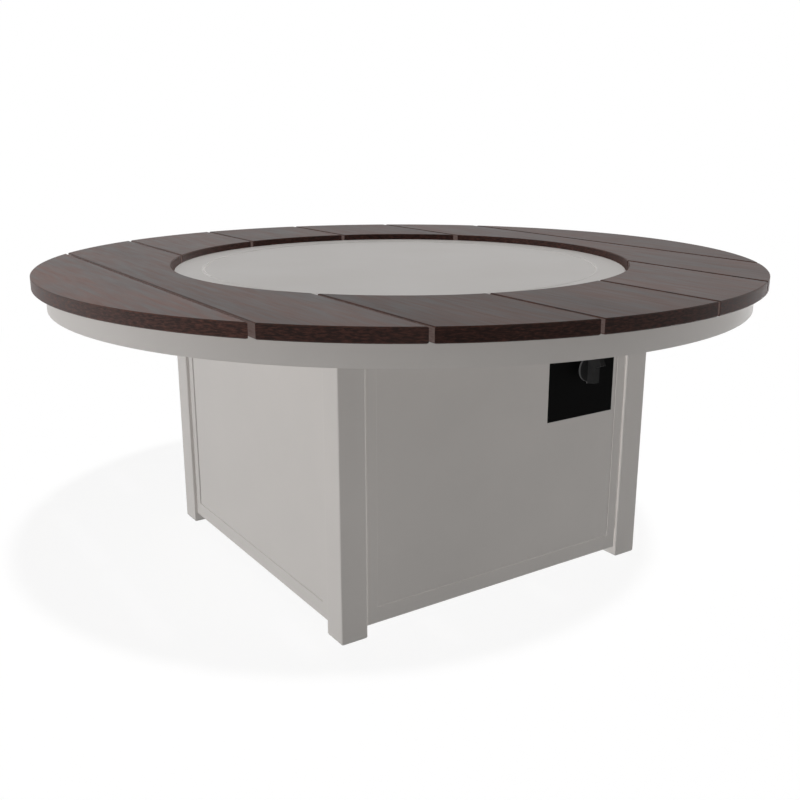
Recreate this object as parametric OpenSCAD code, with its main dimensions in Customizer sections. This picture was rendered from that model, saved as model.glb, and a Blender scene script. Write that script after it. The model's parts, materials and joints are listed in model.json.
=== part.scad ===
// Round gas fire pit table: boarded top, square base with a gas bottle bay, ring burner and lift-off cover
// Millimetres, +Z up, origin on the floor under the centre, front with the control knob towards -Y

/* [Table top] */
// Diameter of the round top
top_d = 1524; // [1420:1:1640]
// Height of the top surface above the floor
table_h = 647.7; // [600:0.1:760]
// Thickness of the boards
board_t = 25.6; // [20:0.1:32]
// Width of the middle board
middle_board_w = 257; // [220:1:290]
// Width of the boards on each side of the middle one
inner_board_w = 242; // [215:1:265]
// Width of the boards that the fire opening bites into
bitten_board_w = 195; // [170:1:225]
// Gap between neighbouring boards
board_gap = 8; // [4:0.5:12]
// Diameter of the fire opening cut through the boards
opening_d = 983; // [900:1:1060]
// Chamfer that eases every board edge
board_ease = 1.6; // [0.8:0.1:3]

/* [Rim hoop, carrying ring and arms] */
// How far the boards reach past the rim hoop
rim_overhang = 25.4; // [15:0.1:40]
// Height of the rim hoop's band
rim_h = 43.4; // [36:0.1:52]
// Thickness of the rim hoop and of the carrying ring
ring_t = 4; // [3:0.1:5]
// Width of the rim hoop's flange under the boards
rim_flange_w = 40; // [32:1:50]
// How far the carrying ring reaches in from the fire opening
carry_in = 36; // [28:1:42]
// How far the carrying ring reaches out under the boards
carry_out = 48; // [40:1:60]
// Side of the square tube of the arms
arm_w = 28; // [24:1:32]
// Wall of the arm and rail tubes
tube_wall = 2; // [1.5:0.1:3]
// Corner radius of the arm and rail tubes
tube_round = 3; // [2.5:0.1:4]

/* [Base frame] */
// Outside width of the square base
base_w = 762; // [720:1:800]
// Side of the square legs
leg_w = 56; // [50:0.5:62]
// Wall of the leg tube
leg_wall = 2.5; // [2:0.1:2.7]
// Corner radius of the leg tube
leg_round = 3.2; // [2.8:0.1:6]
// Side of the square rail tube
rail_w = 25; // [22:1:30]
// Height of the lower rails above the floor
low_rail_z = 30; // [26:1:40]
// Thickness of the foot plug below the leg tube
foot_t = 4; // [3:0.1:6]
// Length of the foot plug inside the leg tube
foot_plug_h = 20; // [12:1:30]

/* [Side panels] */
// Height of the panels' lower edge above the floor
panel_z = 20; // [16:0.5:26]
// Gap between a fixed panel and the leg
panel_gap = 0.5; // [0.3:0.1:1.5]
// Distance of the panel face behind the leg face
panel_setback = 5.2; // [3:0.1:8]
// Depth of the folded panel
panel_depth = 17; // [15:0.5:22]
// Thickness of the panel sheet
panel_t = 2; // [1.5:0.1:2.5]
// Radius of the panel's folded edges
panel_round = 4.5; // [3:0.1:6]
// Width of the raised border at the panel's sides
border_side = 24.5; // [18:0.5:30]
// Width of the raised border at the panel's foot and head
border_end = 33; // [26:0.5:40]
// Depth of the sunk field inside the border
field_sink = 2; // [1:0.1:3]
// Width of the slope from the border down to the field
field_slope = 1.5; // [0.5:0.1:3]
// Room between the panel's head and the underside of the rim hoop
panel_head_room = 5; // [4:0.5:12]

/* [Burner deck and cover] */
// Depth of the burner deck below the board tops
deck_drop = 12.9; // [8:0.1:16]
// Gap between the burner deck and the boards
deck_gap = 7.5; // [5:0.1:10]
// Thickness of the deck sheet
deck_t = 3; // [2:0.1:3.5]
// Radius of the lift-off burner cover
cover_r = 422; // [400:1:440]
// Thickness of the cover
cover_t = 3; // [2.5:0.1:4]
// Radius of the cover's rounded rim
cover_ease = 1.5; // [1:0.1:2.4]
// Width of the groove round the cover
cover_groove = 5; // [3:0.1:8]
// Width of the ledge that the cover lies on
ledge_w = 27; // [20:1:32]
// Height of the hoop under the cover
cover_hoop_h = 7; // [4:0.5:8]
// Play between the cover's hoop and the deck
cover_play = 3; // [1.5:0.1:5]

/* [Burner pan and ring burner] */
// Radius of the burner pan's wall
pan_r = 306; // [284:1:314]
// Depth of the burner pan
pan_depth = 95; // [85:1:105]
// Thickness of the pan sheet
pan_t = 1.5; // [1:0.1:2]
// Radius at the foot of the pan's wall
pan_round = 20; // [12:1:30]
// Width of the pan's flange
pan_flange_w = 45; // [36:1:55]
// Radius of the drain holes in the pan
drain_r = 4; // [3:0.5:6]
// Number of drain holes in the pan
drain_count = 8; // [4:1:12]
// Radius of the outer burner ring
burner_outer_r = 190; // [170:1:220]
// Radius of the inner burner ring
burner_inner_r = 95; // [80:1:110]
// Outer radius of the burner tube
burner_tube_r = 9.5; // [8:0.1:12]
// Wall of the burner tube
burner_wall = 1.3; // [1:0.1:2]
// Height of the burner tube's centre above the pan floor
burner_lift = 31; // [26:1:36]
// Radius of the burner hub
hub_r = 24; // [20:0.5:30]
// Radius of the burner inlet pipe
nipple_r = 10.65; // [9:0.05:12]
// Radius of the burner ports
port_r = 1.4; // [1:0.1:2]
// Number of ports on the outer ring
outer_ports = 40; // [24:4:48]
// Number of ports on the inner ring
inner_ports = 20; // [12:4:24]
// Distance of spark electrode and flame sensor from the burner's centre
pilot_r = 148; // [142:1:154]
// Half of the distance between spark electrode and flame sensor
pilot_half_gap = 30; // [20:1:45]
// Radius of the electrode's ceramic sleeve and of the sensor's ferrule
electrode_r = 5; // [4:0.1:6]
// Radius of the electrode wire
wire_r = 1.2; // [0.8:0.1:1.6]
// Radius of the sensor rod
sensor_r = 3; // [2:0.1:4]
// Radius of the collars on the pan floor
collar_r = 9; // [8:0.1:11]
// Thickness of the collars on the pan floor
collar_t = 4; // [3:0.1:6]

/* [Gas line] */
// Thickness of the burner locknut
locknut_t = 10; // [8:0.5:12]
// Width across the flats of the burner locknut
locknut_af = 32; // [30:1:38]
// Length of the air mixer
mixer_h = 32; // [26:1:36]
// Outer radius of the air mixer
mixer_r = 13.5; // [13:0.1:16]
// Overlap of the air mixer on the burner inlet pipe
mixer_grip = 10; // [8:0.5:12]
// Room between the locknut and the air mixer
mixer_gap = 4; // [3:0.5:8]
// Outer radius of the gas tube
gas_tube_r = 4.75; // [4:0.05:6]
// Wall of the gas tube
gas_tube_wall = 0.9; // [0.7:0.1:1.5]
// Bend radius of the gas tube
gas_bend_r = 14; // [11:1:17]
// Radius of the threaded gas inlet
inlet_r = 7.95; // [7:0.05:9]
// Length of the threaded gas inlet
inlet_len = 16; // [12:0.5:20]
// Width across the flats of the gas inlet's hexagon
inlet_af = 19; // [18:0.5:24]
// Thickness of the gas inlet's hexagon
inlet_hex_t = 7; // [5:0.5:10]
// Radius of the bore through the gas inlet and the valve's ports
gas_bore_r = 3; // [2:0.1:3.5]

/* [Control plate, valve and knob] */
// Width of the black control plate
plate_w = 180; // [150:1:200]
// Height of the black control plate
plate_h = 191.6; // [170:0.1:210]
// Distance of the plate from the field's right edge
plate_side_gap = 10; // [7:0.5:20]
// Distance of the plate from the field's upper edge
plate_head_gap = 4; // [3:0.5:10]
// Width of the plate's flange behind the panel
plate_flange = 6; // [4:0.5:8]
// Height of the knob's axis above the middle of the plate
knob_rise = 10.6; // [0:0.1:14]
// Radius of the knob's round skirt
knob_r = 27; // [24:0.5:32]
// Distance of the knob's skirt face from the plate
knob_skirt_y = 21.7; // [18:0.1:26]
// Thickness of the knob's skirt
knob_skirt_t = 4; // [3:0.1:6]
// Radius of the knob's hub behind the skirt
knob_hub_r = 15; // [12:0.5:20]
// Distance of the knob's grip from the plate
knob_grip_y = 43; // [36:0.5:50]
// Distance of the tip of the grip's thumb tab from the plate
thumb_y = 60; // [54:0.5:68]
// Height of the thumb tab's foot above the knob's axis
thumb_foot_z = 6.6; // [4:0.1:9]
// Height of the thumb tab's tip above the knob's axis
thumb_tip_z = 13.5; // [10:0.1:18]
// Half length of the knob's grip
grip_half = 30; // [26:0.5:34]
// Thickness of the knob's grip
grip_t = 12; // [10:0.5:14]
// How far the knob is pushed in
push_travel = 4; // [3:0.5:5]
// Gap that stays between the pushed knob and the plate
knob_clear = 2; // [1:0.5:3]
// Radius of the valve stem
stem_r = 4; // [3:0.1:5]
// Depth of the flat on the valve stem
stem_flat = 1.2; // [0.8:0.1:1.6]
// Radius of the valve's barrel
valve_r = 16; // [13:0.5:20]
// Length of the valve's barrel
valve_len = 46; // [42:1:60]
// Distance of the valve's ports from its axis
valve_port_len = 27; // [22:0.5:32]
// Radius of the valve's port bosses
valve_boss_r = 10; // [9:0.5:12]
// Thickness of the valve's mounting flange
valve_flange_t = 4; // [3:0.5:6]
// Half width of the valve's mounting flange
valve_flange_half = 26; // [24:0.5:34]
// Half height of the valve's mounting flange
valve_flange_rise = 21; // [20.5:0.5:28]
// Distance of the port bosses from the flange and from the barrel's end
valve_boss_gap = 2; // [1:0.5:4]

/* [Access door] */
// Gap between the door and the legs at its sides
door_side_gap = 4; // [3.5:0.1:6]
// How far the door stands clear of the rails
door_gap = 0.6; // [0.4:0.1:1.2]
// Distance of the hinge axis outside the leg face
hinge_proud = 2; // [2:0.1:4]
// Height of one hinge
hinge_h = 60; // [45:1:80]
// Distance of the hinges from the door's head and foot
hinge_inset = 70; // [50:1:120]
// Radius of the hinge knuckle
knuckle_r = 3.5; // [3:0.1:3.8]
// Radius of the hinge pin
hinge_pin_r = 1.6; // [1.2:0.1:2]
// Thickness of the hinge leaf
leaf_t = 1.2; // [0.8:0.1:1.4]
// Length of the hinge leaf
leaf_len = 23; // [20:0.5:23]
// Width of the door magnet
magnet_w = 40; // [25:1:60]
// Height of the door magnet
magnet_h = 14; // [8:0.5:16]
// Distance of the door magnet from the door's free edge
magnet_inset = 70; // [50:1:120]
// Thickness of the steel strike on the door
strike_t = 1.4; // [1:0.1:2]

/* [Bottle tray] */
// Thickness of the tray sheet
tray_t = 2; // [1.5:0.1:3]
// How far the tray lies on the rails
tray_lap = 12; // [6:0.5:18]
// Distance of the gas bottle's place behind the centre
bottle_y = 165; // [150:1:180]
// Radius of the gas bottle's foot ring
bottle_foot_r = 105; // [95:1:115]
// Height of the tabs round the bottle's foot
tab_h = 25; // [15:1:30]
// Width of the tabs round the bottle's foot
tab_w = 40; // [30:1:60]
// Length of the vent slots in the tray
slot_len = 120; // [80:5:160]
// Width of the vent slots in the tray
slot_w = 10; // [6:0.5:14]
// Number of vent slots in the tray
slot_count = 6; // [3:1:8]
// Distance between neighbouring vent slots
slot_pitch = 44; // [36:1:50]

/* [Board screws] */
// Radius of the screw shank
screw_r = 2.4; // [2:0.1:3]
// Radius of the screw head
screw_head_r = 4.6; // [4:0.1:6]
// Thickness of the screw head
screw_head_t = 3; // [2:0.1:4]
// How deep the screws go into the boards
screw_bite = 16; // [10:0.5:19]
// Distance of the screws from the board edges
screw_inset = 30; // [20:1:36]

/* [Clearances] */
// Clearance round screws and other fixed round pieces
fixed_clear = 0.15; // [0.1:0.05:0.3]
// Radial clearance of turning and sliding pieces
running_clear = 0.06; // [0.03:0.01:0.1]
// Gap at faces that stay just clear of each other
face_clear = 0.3; // [0.2:0.05:0.5]
// Clearance of the hinge knuckles against the other leaf
knuckle_clear = 0.4; // [0.3:0.05:0.6]

/* [Hidden] */
$fn = 96;

board_names = [
    "board_left_edge", "board_left_bitten", "board_left_front", "board_left_back", "board_middle_front",
    "board_middle_back", "board_right_front", "board_right_back", "board_right_bitten", "board_right_edge"
];
arm_names = [for (i = [1:8]) str("top_arm_", i)];
leg_names = ["leg_front_left", "leg_front_right", "leg_back_right", "leg_back_left"];
sides = ["front", "right", "back", "left"];
upper_rail_names = [for (s = sides) str("upper_rail_", s)];
lower_rail_names = [for (s = sides) str("lower_rail_", s)];

// Colours
espresso = "#3a2c27";
warm_grey = "#a8a5a1";
black = "#141414";
steel = "#b9bcc0";
brass = "#c0a060";
ceramic_white = "#ece8df";

// Levels and radii of the top
top_r = top_d / 2;
opening_r = opening_d / 2;
board_z = table_h - board_t;
seam_1 = middle_board_w / 2;
inner_x0 = seam_1 + board_gap;
inner_x1 = inner_x0 + inner_board_w;
bitten_x0 = inner_x1 + board_gap;
bitten_x1 = bitten_x0 + bitten_board_w;
edge_x0 = bitten_x1 + board_gap;
rim_r = top_r - rim_overhang;
rim_z = board_z - rim_h;
rim_flange_r = rim_r - rim_flange_w;
carry_r0 = opening_r - carry_in;
carry_r1 = opening_r + carry_out;
arm_top = board_z - ring_t;
leg_top = arm_top - arm_w;

// Places in the base
base_half = base_w / 2;
leg_c = base_half - leg_w / 2;
leg_in = base_half - leg_w;
panel_half = leg_in - panel_gap;
door_half = leg_in - door_side_gap;
panel_top = rim_z - panel_head_room;
panel_h = panel_top - panel_z;
panel_face = base_half - panel_setback;
rail_out = panel_face - panel_depth;
rail_in = rail_out - rail_w;
rail_len = 2 * leg_in;
field_half = panel_half - border_side;
field_z0 = border_end;
field_z1 = panel_h - border_end;
field_face = panel_face - field_sink;
field_back = field_face - panel_t;
low_rail_top = low_rail_z + rail_w;

// Levels and radii of the burner deck, cover and pan
deck_r = opening_r - deck_gap;
deck_z = table_h - deck_drop;
groove_r = cover_r + cover_groove;
ledge_r = groove_r - ledge_w;
ledge_z = deck_z - cover_t;
shelf_z = arm_top + deck_t;
shelf_r = pan_r + pan_flange_w / 4;
pan_top = shelf_z + pan_t;
pan_z = pan_top - pan_depth;
pan_floor = pan_z + pan_t;
burner_z = pan_floor + burner_lift;
hub_top = burner_z + burner_tube_r + 2 * burner_wall;
cover_hoop_r = ledge_r - cover_play;

// Levels of the gas line below the pan
locknut_z = pan_z - locknut_t;
mixer_top = locknut_z - mixer_gap;
mixer_z = mixer_top - mixer_h;
nipple_z = mixer_top - mixer_grip;

// Places of the control plate, valve and knob on the front
plate_x1 = field_half - plate_side_gap;
plate_x0 = plate_x1 - plate_w;
plate_z1 = panel_z + field_z1 - plate_head_gap;
plate_z0 = plate_z1 - plate_h;
knob_x = (plate_x0 + plate_x1) / 2;
knob_z = (plate_z0 + plate_z1) / 2 + knob_rise;
plate_face_y = -field_face;
plate_back_y = -field_back + panel_t;
valve_end_y = plate_back_y + valve_len;
outlet_y = valve_end_y - valve_boss_r - valve_boss_gap;
inlet_y = plate_back_y + valve_flange_t + valve_boss_r + valve_boss_gap;
stem_bore_r = stem_r + running_clear;
stem_end_y = plate_back_y + valve_len / 3;
rod_end_y = stem_end_y + valve_len / 3;
knob_back_y = plate_face_y - push_travel - knob_clear;
knob_skirt_face_y = plate_face_y - knob_skirt_y;
stem_tip_y = knob_skirt_face_y - face_clear;
inlet_top_z = knob_z - valve_port_len;
inlet_end_z = inlet_top_z - inlet_hex_t - inlet_len;

// Hinge axis of the access door and pitch of its three knuckles
hinge_x = -(door_half + door_side_gap / 2);
hinge_y = base_half + hinge_proud;
hinge_zs = [panel_z + hinge_inset, panel_top - hinge_inset - hinge_h];
knuckle_h = hinge_h / 3;
strike_y = panel_face - panel_t - strike_t;

// Screw circles under the boards
carry_screw_r = opening_r + carry_out / 2;
rim_screw_r = rim_r - rim_flange_w / 2;

// Places of the screws of a board that runs from x0 to x1, on the circles under it
function screw_points(x0, x1) = [
    for (x = [x0 + screw_inset, x1 - screw_inset], r = [carry_screw_r, rim_screw_r], s = [-1, 1])
        if (abs(x) < r - screw_inset) [x, s * sqrt(r * r - x * x)]
];
edge_x1 = rim_screw_r - screw_inset;
row_points = [
    screw_points(-seam_1, seam_1), screw_points(inner_x0, inner_x1),
    screw_points(bitten_x0, bitten_x1), screw_points(edge_x0, edge_x1)
];
all_screw_points = concat(
    row_points[0], row_points[1], row_points[2], row_points[3],
    [for (i = [1:3]) for (p = row_points[i]) [-p[0], p[1]]]
);

// Outline of a square with rounded corners
module rounded_square(w, r) {
    square([w - 2 * r, w], center = true);
    square([w, w - 2 * r], center = true);
    for (sx = [-1, 1], sy = [-1, 1])
        translate([sx * (w / 2 - r), sy * (w / 2 - r)])
            circle(r);
}

// Outline of a square tube
module tube_outline(w, wall, r) {
    difference() {
        rounded_square(w, r);
        square(w - 2 * wall, center = true);
    }
}

// Quarter of a disc in the first quadrant
module quarter_disc(r) {
    intersection() {
        circle(r);
        square(r);
    }
}

// Solid rod along +Y from y0 to y1
module rod_y(r, y0, y1) {
    translate([0, y0, 0])
        rotate([-90, 0, 0])
            cylinder(r = r, h = y1 - y0);
}

// Round board top as one ring with eased edges, before it is cut into boards
module board_ring() {
    e = board_ease;
    rotate_extrude($fn = 360)
        polygon([
            [opening_r + e, board_z], [top_r - e, board_z], [top_r, board_z + e], [top_r, table_h - e],
            [top_r - e, table_h], [opening_r + e, table_h], [opening_r, table_h - e], [opening_r, board_z + e]
        ]);
}

// Long prism that cuts one board out of the ring, with its sides eased at the ring's faces
module board_strip(x0, x1) {
    e = board_ease;
    o = board_t;
    rotate([90, 0, 0])
        linear_extrude(2 * top_r + 2 * board_t, center = true)
            polygon([
                [x0, board_z + e], [x0 + e + o, board_z - o], [x1 - e - o, board_z - o], [x1, board_z + e],
                [x1, table_h - e], [x1 - e - o, table_h + o], [x0 + e + o, table_h + o], [x0, table_h - e]
            ]);
}

// One board, whole (side 0) or its front (-1) or back (1) half, drilled for its screws
module board(x0, x1, side, points) {
    color(espresso)
        difference() {
            intersection() {
                board_ring();
                board_strip(x0, x1);
                if (side != 0)
                    translate([-top_r, side < 0 ? -2 * top_r : 0, 0])
                        cube([2 * top_r, 2 * top_r, 2 * table_h]);
            }
            for (p = points)
                if (side == 0 || sign(p[1]) == side)
                    translate([p[0], p[1], board_z - board_t])
                        cylinder(r = screw_r + fixed_clear, h = board_t + screw_bite, $fn = 24);
        }
}

// Boards by their place in the list of names
module board_by_index(i) {
    if (i == 4 || i == 5)
        board(-seam_1, seam_1, i == 4 ? -1 : 1, row_points[0]);
    if (i == 6 || i == 7)
        board(inner_x0, inner_x1, i == 6 ? -1 : 1, row_points[1]);
    if (i == 8)
        board(bitten_x0, bitten_x1, 0, row_points[2]);
    if (i == 9)
        board(edge_x0, top_r + 3 * board_t, 0, row_points[3]);
    if (i == 2 || i == 3)
        mirror([1, 0, 0])
            board_by_index(i + 4);
    if (i < 2)
        mirror([1, 0, 0])
            board_by_index(9 - i);
}

// Holes for the board screws in the flat ring between two radii
module screw_holes(r0, r1) {
    for (p = all_screw_points)
        if (norm(p) > r0 && norm(p) < r1)
            translate([p[0], p[1], arm_top - ring_t])
                cylinder(r = screw_r + fixed_clear, h = 3 * ring_t, $fn = 24);
}

module rim_hoop() {
    color(warm_grey)
        difference() {
            rotate_extrude($fn = 180)
                polygon([
                    [rim_r - ring_t, rim_z], [rim_r, rim_z], [rim_r, board_z], [rim_flange_r, board_z],
                    [rim_flange_r, arm_top], [rim_r - ring_t, arm_top]
                ]);
            screw_holes(rim_flange_r, rim_r);
        }
}

module carry_ring() {
    color(warm_grey)
        difference() {
            rotate_extrude($fn = 180)
                translate([carry_r0, arm_top])
                    square([carry_r1 - carry_r0, ring_t]);
            screw_holes(carry_r0, carry_r1);
        }
}

// Arms lie on the rails in the middle of each side and on the legs at the corners
module top_arm(i) {
    inner_end = i % 2 == 0 ? rail_in : leg_in * sqrt(2);
    outer_end = rim_r - ring_t - face_clear;
    color(warm_grey)
        rotate([0, 0, 45 * i])
            translate([inner_end, 0, arm_top - arm_w / 2])
                rotate([0, 90, 0])
                    linear_extrude(outer_end - inner_end)
                        tube_outline(arm_w, tube_wall, tube_round);
}

module leg(i) {
    color(warm_grey)
        rotate([0, 0, 90 * i])
            translate([-leg_c, -leg_c, foot_t])
                linear_extrude(leg_top - foot_t)
                    difference() {
                        rounded_square(leg_w, leg_round);
                        rounded_square(leg_w - 2 * leg_wall, leg_round - leg_wall);
                    }
}

module foot_plugs() {
    plug_w = leg_w - 2 * leg_wall - 2 * fixed_clear;
    color(warm_grey)
        for (i = [0:3])
            rotate([0, 0, 90 * i])
                translate([-leg_c, -leg_c, 0]) {
                    linear_extrude(foot_t / 2)
                        rounded_square(leg_w - foot_t / 2, leg_round);
                    translate([0, 0, foot_t / 2])
                        linear_extrude(foot_t / 2)
                            rounded_square(leg_w, leg_round);
                    translate([0, 0, foot_t])
                        linear_extrude(foot_plug_h)
                            rounded_square(plug_w, leg_round - leg_wall);
                }
}

// Rail of one side, with its lower face at height z
module rail(i, z) {
    color(warm_grey)
        rotate([0, 0, 90 * i])
            translate([0, -(rail_out + rail_in) / 2, z + rail_w / 2])
                rotate([0, 90, 0])
                    linear_extrude(rail_len, center = true)
                        tube_outline(rail_w, tube_wall, tube_round);
}

// Outline of a panel seen along its length: face at 0, back at d, front corners rounded
module folded_outline(w, d, r) {
    translate([-w / 2, r])
        square([w, d - r]);
    translate([-w / 2 + r, 0])
        square([w - 2 * r, d]);
    for (s = [-1, 1])
        translate([s * (w / 2 - r), r])
            circle(r);
}

// Block with all four front edges rounded, face at y = 0, foot at z = 0
module folded_block(w, h, d, r) {
    intersection() {
        linear_extrude(h)
            folded_outline(w, d, r);
        translate([0, 0, h / 2])
            rotate([0, 90, 0])
                linear_extrude(w, center = true)
                    folded_outline(h, d, r);
    }
}

// Outline across the sunk field of width w, sloped at its sides and made wider by grow
module field_outline(w, grow) {
    foot = w / 2 - field_slope + grow;
    mouth = w / 2 + field_slope * panel_t / field_sink + grow;
    polygon([[-mouth, -panel_t], [mouth, -panel_t], [foot, field_sink], [-foot, field_sink]]);
}

// Hollow of the sunk field with four sloped sides, made wider by grow
module field_form(grow) {
    intersection() {
        linear_extrude(panel_h)
            field_outline(2 * field_half, grow);
        translate([0, 0, panel_h / 2])
            rotate([0, 90, 0])
                linear_extrude(2 * leg_in, center = true)
                    field_outline(field_z1 - field_z0, grow);
    }
}

// Folded sheet panel with a raised border round a sunk field, face at y = 0
module sheet_panel(half, depth) {
    t = panel_t;
    difference() {
        union() {
            difference() {
                folded_block(2 * half, panel_h, depth, panel_round);
                translate([0, t, t])
                    folded_block(2 * half - 2 * t, panel_h - 2 * t, depth, panel_round - t);
            }
            translate([0, t, 0])
                field_form(t / 2);
        }
        field_form(0);
    }
}

// Panel on side i of the base
module side_panel(i, half, depth) {
    color(warm_grey)
        rotate([0, 0, 90 * i])
            translate([0, -panel_face, panel_z])
                sheet_panel(half, depth);
}

// The front panel has a window for the control plate
module front_panel() {
    color(warm_grey)
        difference() {
            side_panel(0, panel_half, panel_depth);
            translate([plate_x0, -panel_face, plate_z0])
                cube([plate_w, panel_depth, plate_h]);
        }
}

module access_door() {
    side_panel(2, door_half, panel_depth - door_gap);
}

// Cylinder on the hinge axis over knuckle k, made longer at both ends by grow
module knuckle(k, r, grow) {
    translate([hinge_x, hinge_y, k * knuckle_h - grow])
        cylinder(r = r, h = knuckle_h + 2 * grow, $fn = 48);
}

// Hinge leaf with its inner face at x = face, going dir along x, carrying the knuckles in own
module hinge_leaf(face, dir, own) {
    difference() {
        union() {
            difference() {
                translate([dir > 0 ? face : face - leaf_t, hinge_y - leaf_len, 0])
                    cube([leaf_t, leaf_len, hinge_h]);
                for (k = [0:2])
                    if (len(search(k, own)) == 0)
                        knuckle(k, knuckle_r + knuckle_clear, knuckle_clear / 2);
            }
            for (k = own)
                knuckle(k, knuckle_r, -knuckle_clear / 4);
        }
        translate([hinge_x, hinge_y, -hinge_h])
            cylinder(r = hinge_pin_r + running_clear, h = 3 * hinge_h, $fn = 48);
    }
}

module hinge_leaves_leg() {
    color(steel)
        for (z = hinge_zs)
            translate([0, 0, z])
                hinge_leaf(-leg_in, 1, [0, 2]);
}

module hinge_leaves_door() {
    color(steel)
        for (z = hinge_zs)
            translate([0, 0, z])
                hinge_leaf(-door_half, -1, [1]);
}

module hinge_pins() {
    cap_t = leaf_t;
    color(steel)
        for (z = hinge_zs)
            translate([hinge_x, hinge_y, z]) {
                translate([0, 0, -cap_t])
                    cylinder(r = hinge_pin_r, h = hinge_h + 2 * cap_t, $fn = 48);
                for (cap_z = [-cap_t, hinge_h])
                    translate([0, 0, cap_z])
                        cylinder(r = knuckle_r - knuckle_clear, h = cap_t, $fn = 48);
            }
}

module door_magnet() {
    color(black)
        translate([door_half - magnet_inset - magnet_w, rail_out, low_rail_z + (rail_w - magnet_h) / 3])
            cube([magnet_w, strike_y - rail_out - face_clear, magnet_h]);
}

module door_strike() {
    color(steel)
        translate([door_half - magnet_inset - magnet_w, strike_y, low_rail_z + (rail_w - magnet_h) / 3])
            cube([magnet_w, strike_t, magnet_h]);
}

// Spun deck: skirt, flat rim, ledge for the cover and shelf for the pan
module burner_deck() {
    t = deck_t;
    color(warm_grey)
        rotate_extrude($fn = 180) {
            polygon([
                [deck_r, board_z], [deck_r, deck_z - t], [deck_r - t, deck_z], [groove_r, deck_z],
                [groove_r, ledge_z], [ledge_r, ledge_z], [ledge_r, shelf_z], [shelf_r, shelf_z],
                [shelf_r, arm_top], [ledge_r + t, arm_top], [ledge_r + t, ledge_z - t],
                [groove_r + t, ledge_z - t], [groove_r + t, deck_z - t], [deck_r - t, deck_z - t],
                [deck_r - t, board_z]
            ]);
            translate([deck_r - t, deck_z - t])
                quarter_disc(t);
        }
}

module burner_cover() {
    e = cover_ease;
    color(warm_grey)
        rotate_extrude($fn = 180) {
            translate([0, ledge_z])
                square([cover_r - e, cover_t]);
            translate([cover_r - e, ledge_z])
                square([e, cover_t - e]);
            translate([cover_r - e, deck_z - e])
                quarter_disc(e);
        }
}

// Hoop under the cover that keeps it flat and centres it in the deck
module cover_hoop() {
    color(warm_grey)
        rotate_extrude($fn = 180)
            translate([cover_hoop_r - cover_t, ledge_z - cover_hoop_h])
                square([cover_t, cover_hoop_h]);
}

// Places of the spark electrode (1) and the flame sensor (-1) in the front of the pan
function pilot_place(s) = [s * pilot_half_gap, -sqrt(pilot_r * pilot_r - pilot_half_gap * pilot_half_gap)];

module burner_pan() {
    corner_r = pan_r - pan_round;
    color(steel)
        difference() {
            rotate_extrude() {
                translate([pan_r - pan_t, shelf_z])
                    square([pan_flange_w + pan_t, pan_t]);
                translate([pan_r - pan_t, pan_z + pan_round])
                    square([pan_t, pan_depth - pan_round]);
                translate([0, pan_z])
                    square([corner_r, pan_t]);
                translate([corner_r, pan_z + pan_round])
                    mirror([0, 1])
                        difference() {
                            quarter_disc(pan_round);
                            circle(pan_round - pan_t);
                        }
            }
            translate([0, 0, pan_z - pan_t])
                cylinder(r = nipple_r + fixed_clear, h = 3 * pan_t);
            for (s = [-1, 1])
                translate([pilot_place(s)[0], pilot_place(s)[1], pan_z - pan_t])
                    cylinder(r = electrode_r + fixed_clear, h = 3 * pan_t, $fn = 32);
            for (i = [0.5:drain_count])
                rotate([0, 0, 360 * i / drain_count])
                    translate([(burner_outer_r + corner_r) / 2, 0, pan_z - pan_t])
                        cylinder(r = drain_r, h = 3 * pan_t, $fn = 32);
        }
}

// Rings, cross tubes and hub of the burner, made smaller all over by inset
module burner_body(inset) {
    for (ring_r = [burner_outer_r, burner_inner_r])
        translate([0, 0, burner_z])
            rotate_extrude()
                translate([ring_r, 0])
                    circle(burner_tube_r - inset, $fn = 48);
    for (a = [45, 135])
        translate([0, 0, burner_z])
            rotate([90, 0, a])
                cylinder(r = burner_tube_r - 2 * burner_wall - inset, h = 2 * burner_outer_r, center = true);
    translate([0, 0, pan_floor + inset])
        cylinder(r = hub_r - inset, h = hub_top - pan_floor - 2 * inset);
}

module ring_burner() {
    color(steel)
        difference() {
            union() {
                burner_body(0);
                translate([0, 0, nipple_z])
                    cylinder(r = nipple_r, h = pan_floor - nipple_z + burner_wall);
            }
            burner_body(burner_wall);
            translate([0, 0, nipple_z - burner_wall])
                cylinder(r = nipple_r - 2 * burner_wall, h = pan_floor - nipple_z + 4 * burner_wall);
            for (ring = [[burner_outer_r, outer_ports], [burner_inner_r, inner_ports]], i = [0.5:ring[1]])
                rotate([0, 0, 360 * i / ring[1]])
                    translate([ring[0], 0, burner_z])
                        cylinder(r = port_r, h = 2 * burner_tube_r, $fn = 16);
        }
}

module burner_locknut() {
    color(brass)
        translate([0, 0, locknut_z])
            difference() {
                cylinder(d = locknut_af / cos(30), h = locknut_t, $fn = 6);
                translate([0, 0, -locknut_t])
                    cylinder(r = nipple_r + fixed_clear, h = 3 * locknut_t);
            }
}

// Mixer sleeve with a nozzle end below and four air holes round it
module air_mixer() {
    hole_r = mixer_h / 8;
    base_t = mixer_h / 5;
    color(brass)
        translate([0, 0, mixer_z])
            difference() {
                cylinder(r = mixer_r, h = mixer_h);
                translate([0, 0, base_t])
                    cylinder(r = nipple_r + fixed_clear, h = mixer_h);
                translate([0, 0, -base_t])
                    cylinder(r = gas_tube_r - gas_tube_wall, h = 3 * base_t);
                for (a = [0, 90])
                    translate([0, 0, base_t + 2 * hole_r])
                        rotate([90, 0, a])
                            cylinder(r = hole_r, h = 4 * mixer_r, center = true);
            }
}

// Straight tube and quarter bend of the gas line
module gas_straight(len) {
    linear_extrude(len)
        difference() {
            circle(gas_tube_r);
            circle(gas_tube_r - gas_tube_wall);
        }
}

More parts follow.
